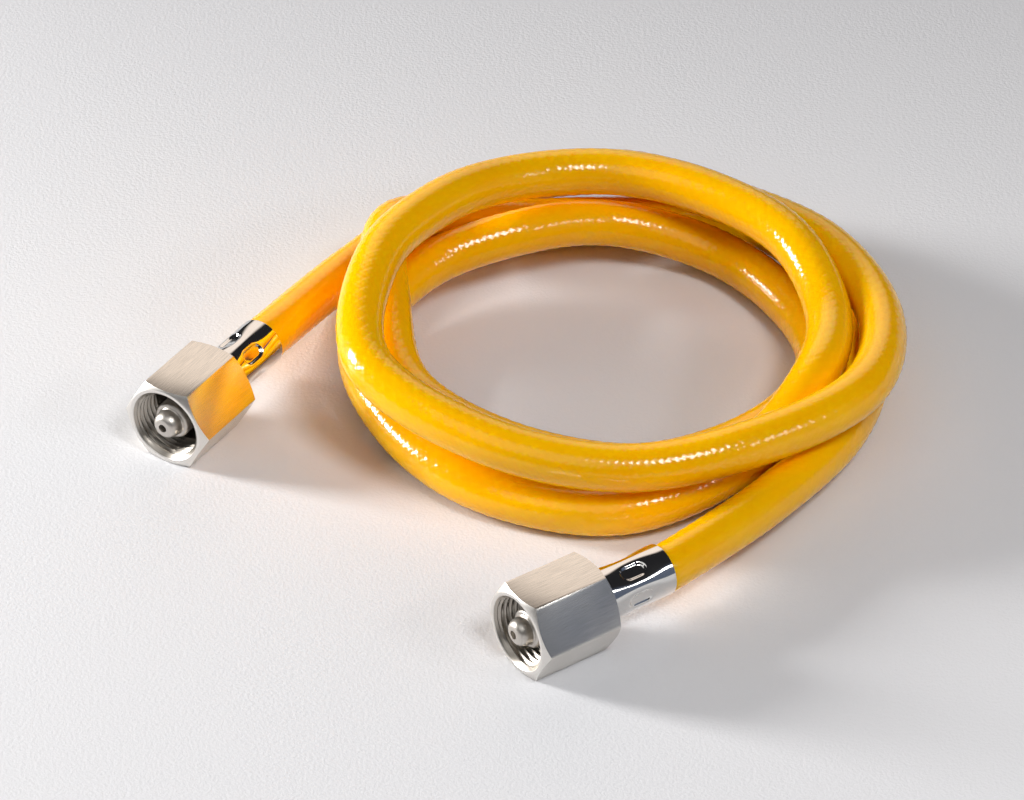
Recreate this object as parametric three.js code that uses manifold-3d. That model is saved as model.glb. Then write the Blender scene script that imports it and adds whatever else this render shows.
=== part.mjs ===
// A medical gas hose: one reinforced flexible hose, lying in a loose coil, with a crimped
// swivel nut fitting at each end.
// Millimetres, +Z up. The origin lies on the surface that carries the coil, under the middle
// of the footprint.
import * as THREE from "three";
import { mergeVertices } from "three/addons/utils/BufferGeometryUtils.js";
import Module from "manifold-3d";

const wasm = await Module();
wasm.setup();

// Hose
const hoseDiameter = 12;
const hoseBore = 6.35;
const hoseSides = 12;
const boreSides = 8;
const surfaceClearance = 0.1;
const straightReach = 4;

// Coil: its mean radius, and its middle seen from the origin, in coil radii
const coilRadius = 60;
const coilMiddleX = 0.4367;
const coilMiddleY = 0.4567;

// Stations round the coil, in degrees, and the steps of the whole tube
const firstStation = -60;
const stationStep = 30;
const hoseSteps = 82;

// How far each station lies from the coil's middle, in coil radii: a row for each turn,
// counter-clockwise from above
const stationRadii = [
  [1.25, 1.1, 1.075, 1.125, 1.133, 1.05, 1.067, 1.125, 0.992, 1.025, 0.992, 0.883],
  [0.8, 0.833, 0.867, 0.842, 0.867, 0.842, 0.808, 0.983, 1.108, 1.083, 1.117, 1.108],
  [1, 0.942, 0.9, 0.867, 0.833, 0.867, 0.892, 0.908, 1.042, 1.225, 1.175, 1.133],
  [1.125, 1.175, 1.125, 1.058, 1, 1.117, 1.317, 1.333],
];

// How far each station is lifted off the surface, in hose diameters
const stationLifts = [
  [0.292, 0.083, 0, 0.042, 0.208, 0, 0.333, 1.542, 1.333, 1.042, 0.875, 0.333],
  [0.042, 0.083, 0, 0.042, 0.167, 0.583, 0.875, 0.583, 0.333, 0.042, 0.042, 0.042],
  [0.417, 1.125, 1.125, 1.583, 1.792, 1.875, 2.042, 2.417, 2.458, 2.042, 1.583, 1.25],
  [1.333, 1.292, 1.042, 1.083, 1.083, 1.042, 0.375, 0.042],
];

// Swivel nut
const nutAcrossFlats = 22.225;
const nutLength = 22.9;
const nutFrontFace = 10.7;
const nutRearFace = 11.1;
const nutChamferAngle = 30;
const threadPitchRadius = 9;
const threadMouthRadius = 9.75;
const socketDepth = 15.8;

// Nipple
const nippleTipOut = 1;
const noseRadius = 3.7;
const noseTipRadius = 1.9;
const noseLength = 3.7;
const noseRoundShare = 0.8;
const noseSteps = 5;
const noseBore = 1.1;
const indexRadius = 5;
const indexEdge = 0.5;
const indexLength = 6.3;
const flangeRadius = 7.8;
const flangeThickness = 2.8;
const flangePlay = 0.4;
const neckRadius = 5.6;
const lipGrooveDepth = 1.4;
const tailBore = 1.6;
const tailClearance = 0.45;
const tailShortOfFerrule = 2;
const barbCount = 4;
const barbLength = 3.6;
const barbDepth = 0.45;
const barbSlopeShare = 0.8;

// Ferrule
const ferruleWall = 0.4;
const ferruleLength = 19.8;
const ferruleRounding = 0.35;
const lipThickness = 0.9;
const dimpleCount = 5;
const dimpleRowFromNut = 10.3;
const dimpleLength = 6.9;
const dimpleWidth = 3.9;
const dimpleDepth = 0.75;
const dimpleEdge = 1.4;
const waistDepth = 0.5;
const waistLength = 15;
const ferruleRows = 10;
const columnsPerDimple = 10;

// Clearances
const runningClearance = 0.3;
const nutToFerrule = 0.8;
const hoseToFerrule = 0.25;

// How far a cutting solid reaches past the piece that it cuts
const cutReach = 1;

// Sides of the turned forms
const largeRoundSegments = 48;
const smallRoundSegments = 24;

// Where the two ends lie: the middle of each ferrule's hose end seen from the coil's middle, in
// coil radii; the way that its axis points towards the hose, and the angle of its first crimp
// dimple round that axis, in degrees
const ends = [
  { letter: "a", x: 0.1495, y: -1.5980, heading: 35.6, firstDimple: -5 },
  { letter: "b", x: -1.5387, y: -0.0082, heading: 57.8, firstDimple: 43 },
];

const jacketYellow = new THREE.MeshStandardMaterial({ color: 0xf7b500, roughness: 0.22, metalness: 0 });
const satinNickel = new THREE.MeshStandardMaterial({ color: 0xc8c2b6, roughness: 0.32, metalness: 1 });
const machinedNickel = new THREE.MeshStandardMaterial({ color: 0xb9b1a6, roughness: 0.26, metalness: 1 });
const polishedSteel = new THREE.MeshStandardMaterial({ color: 0xdadada, roughness: 0.07, metalness: 1 });

// Sizes that follow from the ones above
const hoseRadius = hoseDiameter / 2;
const boreRadius = hoseBore / 2;
const coilX = coilMiddleX * coilRadius;
const coilY = coilMiddleY * coilRadius;
const nutCornerRadius = nutAcrossFlats / Math.sqrt(3);
const chamferSlope = Math.tan(THREE.MathUtils.degToRad(nutChamferAngle));
const ferruleStart = nutLength + nutToFerrule;
const ferruleEnd = ferruleStart + ferruleLength;
const ferruleInside = hoseRadius + hoseToFerrule;
const ferruleOutside = ferruleInside + ferruleWall;
const dimpleRow = nutLength + dimpleRowFromNut;
const lipEnd = ferruleStart + lipThickness;
const lipRadius = neckRadius - lipGrooveDepth + runningClearance;
const hoseEnd = lipEnd + 4 * runningClearance;
const flangeBack = socketDepth - flangePlay;
const flangeFront = flangeBack - flangeThickness;
const indexFront = noseLength - nippleTipOut;
const tailRadius = boreRadius - tailClearance;
const tailEnd = ferruleEnd - tailShortOfFerrule;

// Solids from three.js geometries

function solidOf(geometry) {
  const bare = geometry.clone();
  bare.deleteAttribute("normal");
  bare.deleteAttribute("uv");
  const merged = mergeVertices(bare, 1e-4);
  return new wasm.Manifold(
    new wasm.Mesh({
      numProp: 3,
      vertProperties: new Float32Array(merged.attributes.position.array),
      triVerts: new Uint32Array(merged.index.array),
    }),
  );
}

function meshOf(name, solid, material) {
  const made = solid.getMesh();
  const geometry = new THREE.BufferGeometry();
  geometry.setAttribute("position", new THREE.BufferAttribute(made.vertProperties, 3));
  geometry.setIndex(new THREE.BufferAttribute(made.triVerts, 1));
  geometry.computeVertexNormals();
  const mesh = new THREE.Mesh(geometry, material);
  mesh.name = name;
  return mesh;
}

// A closed profile of [distance along the axis, radius] turned about the X axis
function revolve(profile, segments) {
  const points = [...profile, profile[0]].map(([along, radius]) => new THREE.Vector2(radius, along));
  const geometry = new THREE.LatheGeometry(points, segments);
  return geometry.rotateZ(-Math.PI / 2);
}

// A solid of revolution that reaches the axis at both ends
function revolveFull(profile, segments) {
  const first = profile[0][0];
  const last = profile[profile.length - 1][0];
  return revolve([[first, 0], ...profile, [last, 0]], segments);
}

// Swivel nut: a hexagon bar with turned chamfers, a threaded socket and a hole for the neck

function nutSolid() {
  const corners = [];
  for (let corner = 0; corner < 6; corner += 1) {
    const angle = THREE.MathUtils.degToRad(60 * corner);
    corners.push(new THREE.Vector2(nutCornerRadius * Math.cos(angle), nutCornerRadius * Math.sin(angle)));
  }
  const bar = new THREE.ExtrudeGeometry(new THREE.Shape(corners), { depth: nutLength, bevelEnabled: false });
  bar.rotateX(Math.PI / 2).rotateZ(Math.PI / 2);
  const beyond = nutCornerRadius + cutReach;
  const turned = revolveFull(
    [
      [0, nutFrontFace],
      [(beyond - nutFrontFace) * chamferSlope, beyond],
      [nutLength - (beyond - nutRearFace) * chamferSlope, beyond],
      [nutLength, nutRearFace],
    ],
    largeRoundSegments,
  );
  const mouthDepth = threadMouthRadius - threadPitchRadius;
  const neckHole = neckRadius + runningClearance;
  const socket = revolveFull(
    [
      [-cutReach, threadMouthRadius + cutReach],
      [mouthDepth, threadPitchRadius],
      [socketDepth, threadPitchRadius],
      [socketDepth, neckHole],
      [nutLength + cutReach, neckHole],
    ],
    largeRoundSegments,
  );
  return solidOf(bar).intersect(solidOf(turned)).subtract(solidOf(socket));
}

// Nipple: bullet nose, index shoulder, flange that the nut pulls on, neck with a groove for the
// ferrule's lip, and a barbed tail inside the hose, bored right through

function nippleSolid() {
  const outline = [[-nippleTipOut, noseTipRadius]];
  for (let step = 1; step <= noseSteps; step += 1) {
    const share = (step / noseSteps) * (Math.PI / 2);
    outline.push([
      -nippleTipOut + noseLength * noseRoundShare * (1 - Math.cos(share)),
      noseTipRadius + (noseRadius - noseTipRadius) * Math.sin(share),
    ]);
  }
  outline.push(
    [indexFront, noseRadius],
    [indexFront, indexRadius - indexEdge],
    [indexFront + indexEdge, indexRadius],
    [indexFront + indexLength, indexRadius],
    [indexFront + indexLength, neckRadius],
    [flangeFront, neckRadius],
    [flangeFront, flangeRadius],
    [flangeBack, flangeRadius],
    [flangeBack, neckRadius],
    [ferruleStart - runningClearance, neckRadius],
    [ferruleStart - runningClearance, neckRadius - lipGrooveDepth],
    [lipEnd + runningClearance, neckRadius - lipGrooveDepth],
    [lipEnd + runningClearance, ferruleInside - 2 * runningClearance],
    [hoseEnd - runningClearance, ferruleInside - 2 * runningClearance],
    [hoseEnd - runningClearance, tailRadius - barbDepth],
  );
  for (let barb = 0; barb < barbCount; barb += 1) {
    const start = tailEnd - (barbCount - barb) * barbLength;
    outline.push([start, tailRadius - barbDepth], [start, tailRadius]);
    outline.push([start + barbLength * barbSlopeShare, tailRadius - barbDepth]);
  }
  outline.push([tailEnd, tailRadius - barbDepth], [tailEnd, tailBore]);
  outline.push([flangeFront, tailBore], [flangeFront, noseBore], [-nippleTipOut, noseBore]);
  return solidOf(revolve(outline, smallRoundSegments));
}

// Ferrule: a drawn sleeve with a lip at the nut end, pressed onto the hose by a row of jaws

// How far the jaws press the sleeve in at a place along the axis and an angle round it
function pressedIn(along, angle, firstDimple) {
  const pitch = (2 * Math.PI) / dimpleCount;
  const fromFirst = angle - THREE.MathUtils.degToRad(firstDimple);
  const turn = fromFirst - pitch * Math.round(fromFirst / pitch);
  const alongBy = Math.max(Math.abs(along - dimpleRow) - (dimpleLength - dimpleWidth) / 2, 0);
  const aroundBy = turn * ferruleOutside;
  const fromMiddle = Math.hypot(alongBy, aroundBy);
  const innerRim = (dimpleWidth - dimpleEdge) / 2;
  const outerRim = (dimpleWidth + dimpleEdge) / 2;
  const floor = 1 - THREE.MathUtils.smoothstep(fromMiddle, innerRim, outerRim);
  const waist = 1 - THREE.MathUtils.smoothstep(Math.abs(along - dimpleRow), 0, waistLength / 2);
  const wave = 0.5 + 0.5 * Math.cos(turn * dimpleCount);
  return dimpleDepth * floor + waistDepth * waist * wave;
}

function ferruleSolid(firstDimple) {
  const rows = [];
  for (let row = 0; row <= ferruleRows; row += 1) {
    const reach = dimpleLength / 2 + dimpleEdge;
    rows.push(dimpleRow - reach + (2 * reach * row) / ferruleRows);
  }
  const outline = [
    [ferruleStart, lipRadius],
    [ferruleStart, ferruleOutside - ferruleRounding],
    [ferruleStart + ferruleRounding, ferruleOutside],
    ...rows.map((along) => [along, ferruleOutside]),
    [ferruleEnd - waistLength / 4, ferruleOutside],
    [ferruleEnd - ferruleRounding, ferruleOutside],
    [ferruleEnd, ferruleOutside - ferruleRounding / 2],
    [ferruleEnd, ferruleInside],
    ...rows.reverse().map((along) => [along, ferruleInside]),
    [lipEnd, ferruleInside],
    [lipEnd, lipRadius],
  ];
  const geometry = revolve(outline, columnsPerDimple * dimpleCount);
  const position = geometry.attributes.position;
  for (let index = 0; index < position.count; index += 1) {
    const along = position.getX(index);
    const radius = Math.hypot(position.getY(index), position.getZ(index));
    const angle = Math.atan2(position.getZ(index), -position.getY(index));
    const scale = (radius - pressedIn(along, angle, firstDimple)) / radius;
    position.setXYZ(index, along, position.getY(index) * scale, position.getZ(index) * scale);
  }
  return solidOf(geometry);
}

// Ends: the nut's lower flat lies on the surface

function makeEnd(end) {
  const group = new THREE.Group();
  group.position.set(coilX + end.x * coilRadius, coilY + end.y * coilRadius, nutAcrossFlats / 2);
  group.rotation.z = THREE.MathUtils.degToRad(end.heading);
  group.translateX(-ferruleEnd);
  group.add(
    meshOf(`nut_${end.letter}`, nutSolid(), satinNickel),
    meshOf(`nipple_${end.letter}`, nippleSolid(), machinedNickel),
    meshOf(`ferrule_${end.letter}`, ferruleSolid(end.firstDimple), polishedSteel),
  );
  group.updateMatrixWorld(true);
  return group;
}

// Hose: a tube along the coil's stations, with a straight stretch inside each ferrule, where the
// crimp squeezes it

class StationPath extends THREE.CatmullRomCurve3 {
  // Equal shares of the parameter, so that steps are as dense as the stations
  getPointAt(share, target) {
    return this.getPoint(share, target);
  }

  getTangentAt(share, target) {
    return this.getTangent(share, target);
  }
}

function pointsInFerrule(group) {
  const places = [hoseEnd, ferruleEnd - straightReach, ferruleEnd + straightReach];
  return places.map((along) => group.localToWorld(new THREE.Vector3(along, 0, 0)));
}

function coilPoints() {
  const lifts = stationLifts.flat();
  return stationRadii.flat().map((share, station) => {
    const angle = THREE.MathUtils.degToRad(firstStation + stationStep * station);
    return new THREE.Vector3(
      coilX + share * coilRadius * Math.cos(angle),
      coilY + share * coilRadius * Math.sin(angle),
      hoseRadius + surfaceClearance + lifts[station] * hoseDiameter,
    );
  });
}

function ringOf(radius, sides) {
  const points = [];
  for (let side = 0; side < sides; side += 1) {
    const angle = (2 * Math.PI * side) / sides;
    points.push(new THREE.Vector2(radius * Math.cos(angle), radius * Math.sin(angle)));
  }
  return points;
}

// The room round the hose that the crimped ferrule takes from it
function crimpRing(group) {
  const outside = hoseRadius + 2 * cutReach;
  const free = ferruleInside - runningClearance;
  const squeezed = free - waistDepth - dimpleDepth;
  const reach = dimpleLength / 2 + dimpleEdge;
  const ring = revolve(
    [
      [hoseEnd - cutReach, outside],
      [hoseEnd - cutReach, free - runningClearance],
      [dimpleRow - reach - cutReach, free - runningClearance],
      [dimpleRow - reach, squeezed],
      [dimpleRow + reach, squeezed],
      [dimpleRow + reach + cutReach, free - waistDepth],
      [ferruleEnd, free],
      [ferruleEnd, outside],
    ].reverse(),
    smallRoundSegments,
  );
  return solidOf(ring.applyMatrix4(group.matrixWorld));
}

function hoseSolid([first, last]) {
  const path = new StationPath(
    [...pointsInFerrule(first), ...coilPoints(), ...pointsInFerrule(last).reverse()],
    false,
    "catmullrom",
  );
  const section = new THREE.Shape(ringOf(hoseRadius, hoseSides));
  section.holes.push(new THREE.Path(ringOf(boreRadius, boreSides)));
  const tube = new THREE.ExtrudeGeometry(section, {
    steps: hoseSteps,
    extrudePath: path,
  });
  return solidOf(tube).subtract(crimpRing(first)).subtract(crimpRing(last));
}

const assembly = new THREE.Group();
const fittings = ends.map(makeEnd);
assembly.add(...fittings, meshOf("hose", hoseSolid(fittings), jacketYellow));

export default assembly;
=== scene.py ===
"""A medical gas hose: one braided hose in a loose coil, with a swivel nut fitting at each end."""

import logging
import math
from dataclasses import dataclass, field
from enum import Enum
from typing import Optional

import bmesh
import bpy
import numpy as np
from mathutils import Matrix, Vector


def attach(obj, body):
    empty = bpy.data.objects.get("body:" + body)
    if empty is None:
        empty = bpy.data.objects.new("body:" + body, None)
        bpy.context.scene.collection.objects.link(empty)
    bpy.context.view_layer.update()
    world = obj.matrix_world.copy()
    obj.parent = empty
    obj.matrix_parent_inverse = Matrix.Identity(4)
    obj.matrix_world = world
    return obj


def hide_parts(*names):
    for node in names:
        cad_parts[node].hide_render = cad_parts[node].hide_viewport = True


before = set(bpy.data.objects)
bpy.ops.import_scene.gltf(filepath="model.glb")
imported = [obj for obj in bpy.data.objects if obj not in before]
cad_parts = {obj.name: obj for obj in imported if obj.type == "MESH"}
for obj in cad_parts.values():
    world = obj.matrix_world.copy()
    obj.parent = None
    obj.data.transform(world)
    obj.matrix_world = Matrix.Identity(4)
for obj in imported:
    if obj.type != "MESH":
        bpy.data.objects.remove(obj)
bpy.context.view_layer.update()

MM = 0.001
CHART_WIDTH = 0.06
BODY = "hose"
LOG = logging.getLogger("gas_hose")

Triple = tuple[float, float, float]
Socket = bpy.types.NodeSocket


class End(Enum):
    """The two ends of the hose, by the letter that their pieces carry."""

    NEAR = "a"
    FAR = "b"


class Tooling(Enum):
    """How a metal surface was last worked, which sets the way that its fine lines run."""

    DRAWN_BAR = "drawn bar"
    TURNED = "turned"
    POLISHED = "polished"


# Node trees


class Shading:
    """A material's node tree, with short calls for the nodes that the finishes share."""

    def __init__(self, name: str) -> None:
        """Makes an empty material with a Principled shader.

        Args:
            name: the material's name.
        """
        self.material = bpy.data.materials.new(name)
        self.material.use_nodes = True
        self.nodes = self.material.node_tree.nodes
        self.links = self.material.node_tree.links
        self.shader = self.nodes["Principled BSDF"]

    def add(self, kind: str, **values: object) -> bpy.types.Node:
        """Adds a node.

        Args:
            kind: the node's type name.
            **values: settings of the node, by attribute name.

        Returns:
            The new node.
        """
        node = self.nodes.new(kind)
        for key, value in values.items():
            setattr(node, key, value)
        return node

    def stretched(self, source: Socket, scale: Triple) -> Socket:
        """Scales coordinates.

        Args:
            source: the coordinates.
            scale: factors along x, y and z.

        Returns:
            The scaled coordinates.
        """
        mapping = self.add("ShaderNodeMapping")
        mapping.inputs["Scale"].default_value = scale
        self.links.new(source, mapping.inputs["Vector"])
        return mapping.outputs["Vector"]

    def noise(self, vector: Socket, scale: float, detail: float = 2.0, rough: float = 0.5) -> Socket:
        """Adds a noise texture.

        Args:
            vector: where it is read.
            scale: its scale.
            detail: its octaves.
            rough: how strong the fine octaves are.

        Returns:
            The noise's value.
        """
        node = self.add("ShaderNodeTexNoise")
        node.inputs["Scale"].default_value = scale
        node.inputs["Detail"].default_value = detail
        node.inputs["Roughness"].default_value = rough
        self.links.new(vector, node.inputs["Vector"])
        return node.outputs["Fac"]

    def ramp(self, value: Socket, low: float, high: float) -> Socket:
        """Spreads a value from 0 to 1 over a new range.

        Args:
            value: the value.
            low: what 0 becomes.
            high: what 1 becomes.

        Returns:
            The new value.
        """
        node = self.add("ShaderNodeMapRange")
        node.inputs["To Min"].default_value = low
        node.inputs["To Max"].default_value = high
        self.links.new(value, node.inputs["Value"])
        return node.outputs["Result"]

    def mixed(
        self, value: Socket, first: Triple, second: Triple, start: float = 0.35, stop: float = 0.65
    ) -> Socket:
        """Mixes two colours.

        Args:
            value: what chooses between them.
            first: the colour at the start.
            second: the colour at the stop.
            start: the value of the first colour.
            stop: the value of the second colour.

        Returns:
            The mixed colour.
        """
        node = self.add("ShaderNodeValToRGB")
        node.color_ramp.elements[0].position = start
        node.color_ramp.elements[0].color = (*first, 1.0)
        node.color_ramp.elements[1].position = stop
        node.color_ramp.elements[1].color = (*second, 1.0)
        self.links.new(value, node.inputs["Fac"])
        return node.outputs["Color"]

    def lattice(self, chart: Socket, first: float, second: float) -> Socket:
        """Makes knobs in a chequered lattice.

        Args:
            chart: the map's coordinates.
            first: how fast the knobs follow each other along x, in radians a unit.
            second: how fast they follow each other along y.

        Returns:
            Their height, from -1 to 1.
        """
        split = self.add("ShaderNodeSeparateXYZ")
        self.links.new(chart, split.inputs[0])
        waves = []
        for axis, pace in (("X", first), ("Y", second)):
            angle = self.add("ShaderNodeMath", operation="MULTIPLY")
            angle.inputs[1].default_value = pace
            wave = self.add("ShaderNodeMath", operation="SINE")
            self.links.new(split.outputs[axis], angle.inputs[0])
            self.links.new(angle.outputs["Value"], wave.inputs[0])
            waves.append(wave.outputs["Value"])
        knobs = self.add("ShaderNodeMath", operation="MULTIPLY")
        self.links.new(waves[0], knobs.inputs[0])
        self.links.new(waves[1], knobs.inputs[1])
        return knobs.outputs["Value"]

    def bump(self, height: Socket, strength: float, distance: float) -> Socket:
        """Adds a bump.

        Args:
            height: the relief.
            strength: how much of it shows.
            distance: its depth in metres.

        Returns:
            The normal.
        """
        node = self.add("ShaderNodeBump")
        node.inputs["Strength"].default_value = strength
        node.inputs["Distance"].default_value = distance
        self.links.new(height, node.inputs["Height"])
        return node.outputs["Normal"]

    def set(self, **values: object) -> None:
        """Sets sockets of the shader.

        Args:
            **values: constants or sockets, by the shader's socket name with _ for a space.
        """
        for key, value in values.items():
            socket = self.shader.inputs[key.replace("_", " ")]
            if isinstance(value, Socket):
                self.links.new(value, socket)
            else:
                socket.default_value = value


@dataclass(frozen=True)
class JacketFinish:
    """The soft, glossy, slightly clouded jacket of the hose.

    Attributes:
        colour: the paler colour of its clouds.
        deeper: the deeper colour of its clouds.
        clouds: how fine the clouds are.
        grain: how fine the changes of its gloss are.
        roughness: its usual roughness.
        duller: how much rougher it is at most.
        glossier: how much smoother it is at most.
        yarn_pitch: from one yarn of the braid to the next along the hose, in metres.
        yarns: how many yarns go round the hose.
        yarn_depth: how far the yarns show through, in metres.
    """

    colour: Triple = (1.0, 0.48, 0.0)
    deeper: Triple = (0.98, 0.45, 0.0)
    clouds: float = 60.0
    grain: float = 900.0
    roughness: float = 0.13
    duller: float = 0.05
    glossier: float = 0.03
    yarn_pitch: float = 0.0018
    yarns: float = 18.0
    yarn_depth: float = 0.000016

    def material(self) -> bpy.types.Material:
        """Builds the material.

        Returns:
            The material.
        """
        tree = Shading("glossy_jacket")
        place = tree.add("ShaderNodeTexCoord").outputs["Object"]
        chart = tree.add("ShaderNodeUVMap", uv_map="UVMap").outputs["UV"]
        cloud = tree.noise(place, self.clouds, 3.0)
        grain = tree.noise(place, self.grain, 2.0)
        yarns = tree.lattice(chart, math.tau / self.yarn_pitch, math.tau * self.yarns / CHART_WIDTH)
        tree.set(
            Base_Color=tree.mixed(cloud, self.deeper, self.colour),
            Roughness=tree.ramp(grain, self.roughness - self.glossier, self.roughness + self.duller),
            IOR=1.5,
            Specular_IOR_Level=0.4,
            Subsurface_Weight=0.7,
            Subsurface_Radius=(1.0, 0.6, 0.02),
            Subsurface_Scale=0.005,
            Normal=tree.bump(yarns, 1.0, self.yarn_depth),
        )
        return tree.material


@dataclass(frozen=True)
class MetalFinish:
    """A bare or plated metal, with the fine lines that its last tooling left.

    Attributes:
        name: the material's name.
        tooling: what left the lines.
        colour: its colour between the lines.
        shade: its colour in the lines.
        roughness: its mean roughness.
        spread: how much rougher or smoother a patch of it is at most.
        depth: the depth of the lines, in metres.
        patches: how fine the patches are.
    """

    name: str
    tooling: Tooling
    colour: Triple
    shade: Triple
    roughness: float
    spread: float
    depth: float
    patches: float = 90.0

    def line_scale(self) -> Triple:
        """Gives the factors that stretch the lines on the piece's map: x along the axis, y round it."""
        return {
            Tooling.DRAWN_BAR: (170.0, 5200.0, 1.0),
            Tooling.TURNED: (5200.0, 14.0, 1.0),
            Tooling.POLISHED: (300.0, 300.0, 1.0),
        }[self.tooling]

    def material(self) -> bpy.types.Material:
        """Builds the material.

        Returns:
            The material.
        """
        tree = Shading(self.name)
        place = tree.add("ShaderNodeTexCoord").outputs["Object"]
        chart = tree.add("ShaderNodeUVMap", uv_map="UVMap").outputs["UV"]
        lines = tree.noise(tree.stretched(chart, self.line_scale()), 1.0, 3.0, 0.6)
        patches = tree.noise(place, self.patches, 1.0)
        tree.set(
            Metallic=1.0,
            Base_Color=tree.mixed(lines, self.shade, self.colour, 0.3, 0.6),
            Roughness=tree.ramp(patches, self.roughness - self.spread, self.roughness + self.spread),
            Normal=tree.bump(lines, 0.5, self.depth),
        )
        return tree.material


@dataclass
class Finishes:
    """Every finish of the object, each made once."""

    jacket: bpy.types.Material = field(init=False)
    bar: bpy.types.Material = field(init=False)
    turned: bpy.types.Material = field(init=False)
    socket: bpy.types.Material = field(init=False)
    nipple: bpy.types.Material = field(init=False)
    steel: bpy.types.Material = field(init=False)

    def __post_init__(self) -> None:
        """Makes the materials."""
        nickel = (0.76, 0.725, 0.67)
        dull = (0.61, 0.58, 0.535)
        self.jacket = JacketFinish().material()
        self.bar = MetalFinish(
            "nickel_bar", Tooling.DRAWN_BAR, nickel, dull, 0.26, 0.03, 0.0000015
        ).material()
        self.turned = MetalFinish(
            "nickel_turned", Tooling.TURNED, (0.78, 0.75, 0.71), (0.70, 0.67, 0.63), 0.34, 0.03, 0.000002
        ).material()
        # The socket is the same nickel as the rest of the nut; its darker colour is painted shade inside the
        # threaded recess.
        self.socket = MetalFinish(
            "nickel_socket_painted_shade", Tooling.TURNED, (0.43, 0.395, 0.35), (0.36, 0.33, 0.29), 0.36, 0.03, 0.000002
        ).material()
        self.nipple = MetalFinish(
            "nickel_nipple", Tooling.TURNED, (0.60, 0.565, 0.52), (0.52, 0.485, 0.44), 0.38, 0.03, 0.000004
        ).material()
        self.steel = MetalFinish(
            "polished_steel", Tooling.POLISHED, (0.76, 0.75, 0.73), (0.73, 0.72, 0.70), 0.09, 0.02, 0.000001
        ).material()


# Meshes


@dataclass
class Sheet:
    """A grid of points, of which each row runs once round the piece.

    Attributes:
        points: rows by columns by 3, in metres.
        along: how far along the surface each row lies, for the piece's map.
    """

    points: np.ndarray
    along: np.ndarray


class MeshBuilder:
    """Gathers closed grids of one piece into a mesh with a map."""

    def __init__(self, name: str) -> None:
        """Starts an empty piece.

        Args:
            name: the piece's name.
        """
        self.name = name
        self.vertices: list[np.ndarray] = []
        self.faces: list[tuple[int, ...]] = []
        self.chart: list[tuple[float, float]] = []
        self.count = 0

    def add(self, sheet: Sheet) -> np.ndarray:
        """Adds a grid with its faces.

        Args:
            sheet: the grid.

        Returns:
            The numbers of its vertices, rows by columns.
        """
        rows, columns = sheet.points.shape[:2]
        numbers = np.arange(rows * columns).reshape(rows, columns) + self.count
        self.vertices.append(sheet.points.reshape(-1, 3))
        self.count += rows * columns
        for row in range(rows - 1):
            self.bridge(numbers[row], numbers[row + 1], sheet.along[row], sheet.along[row + 1])
        return numbers

    def bridge(self, first: np.ndarray, second: np.ndarray, start: float, stop: float) -> None:
        """Joins two rings of equally many vertices by a band of faces.

        Args:
            first: the vertices of the first ring.
            second: the vertices of the second ring.
            start: the first ring's place on the map.
            stop: the second ring's place on the map.
        """
        columns = len(first)
        step = CHART_WIDTH / columns
        for column in range(columns):
            after = (column + 1) % columns
            self.faces.append((first[column], first[after], second[after], second[column]))
            left, right = column * step, (column + 1) * step
            self.chart += [(start, left), (start, right), (stop, right), (stop, left)]

    def mesh(self, place: Optional[Matrix] = None) -> bpy.types.Mesh:
        """Makes the mesh, with its faces outwards.

        Args:
            place: a transform for all vertices.

        Returns:
            The mesh.
        """
        points = np.concatenate(self.vertices)
        mesh = bpy.data.meshes.new(self.name)
        faces, chart = self.faces, self.chart
        if self.volume(points) < 0:
            faces = [face[::-1] for face in faces]
            chart = [corner for at in range(0, len(chart), 4) for corner in chart[at : at + 4][::-1]]
        mesh.from_pydata([tuple(point) for point in points], [], [tuple(map(int, face)) for face in faces])
        layer = mesh.uv_layers.new(name="UVMap")
        layer.data.foreach_set("uv", np.array(chart, dtype=np.float32).ravel())
        if place is not None:
            mesh.transform(place)
        mesh.shade_smooth()
        return mesh

    def volume(self, points: np.ndarray) -> float:
        """Finds the volume inside the faces, below zero where they face inwards.

        Args:
            points: the vertices.

        Returns:
            The volume in cubic metres.
        """
        corners = points[np.array(self.faces)]
        first, second, third, fourth = (corners[:, number] for number in range(4))
        halves = np.einsum("ij,ij->i", first, np.cross(second, third))
        halves += np.einsum("ij,ij->i", first, np.cross(third, fourth))
        return float(halves.sum() / 6)


def ring_points(along: np.ndarray, radius: np.ndarray, angles: np.ndarray) -> np.ndarray:
    """Places points round the X axis.

    Args:
        along: distances along the axis, one for each row or each point.
        radius: distances from the axis, one for each row or each point.
        angles: the angle of each column.

    Returns:
        Rows by columns by 3, in metres.
    """
    along = np.broadcast_to(along.reshape(len(along), -1), (len(along), len(angles)))
    radius = np.broadcast_to(radius.reshape(len(radius), -1), (len(radius), len(angles)))
    return np.stack([along, radius * np.cos(angles), radius * np.sin(angles)], axis=2) * MM


def distances(points: np.ndarray) -> np.ndarray:
    """Measures how far along a line each of its points lies, from 0 at the first."""
    return np.concatenate([[0], np.cumsum(np.linalg.norm(np.diff(points, axis=0), axis=1))])


def smooth(value: np.ndarray, low: float, high: float) -> np.ndarray:
    """Rises smoothly from 0 at low to 1 at high.

    Args:
        value: where to read it.
        low: where the rise starts.
        high: where the rise ends.

    Returns:
        The heights.
    """
    share = np.clip((value - low) / (high - low), 0.0, 1.0)
    return share * share * (3.0 - 2.0 * share)


def place_object(mesh: bpy.types.Mesh, materials: list[bpy.types.Material]) -> bpy.types.Object:
    """Puts a finished mesh in the scene.

    Args:
        mesh: the mesh, in its place.
        materials: its materials, by slot.

    Returns:
        The object.
    """
    piece = bpy.data.objects.new(mesh.name, mesh)
    for material in materials:
        mesh.materials.append(material)
    bpy.context.scene.collection.objects.link(piece)
    return piece


# Geometry Nodes


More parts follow.
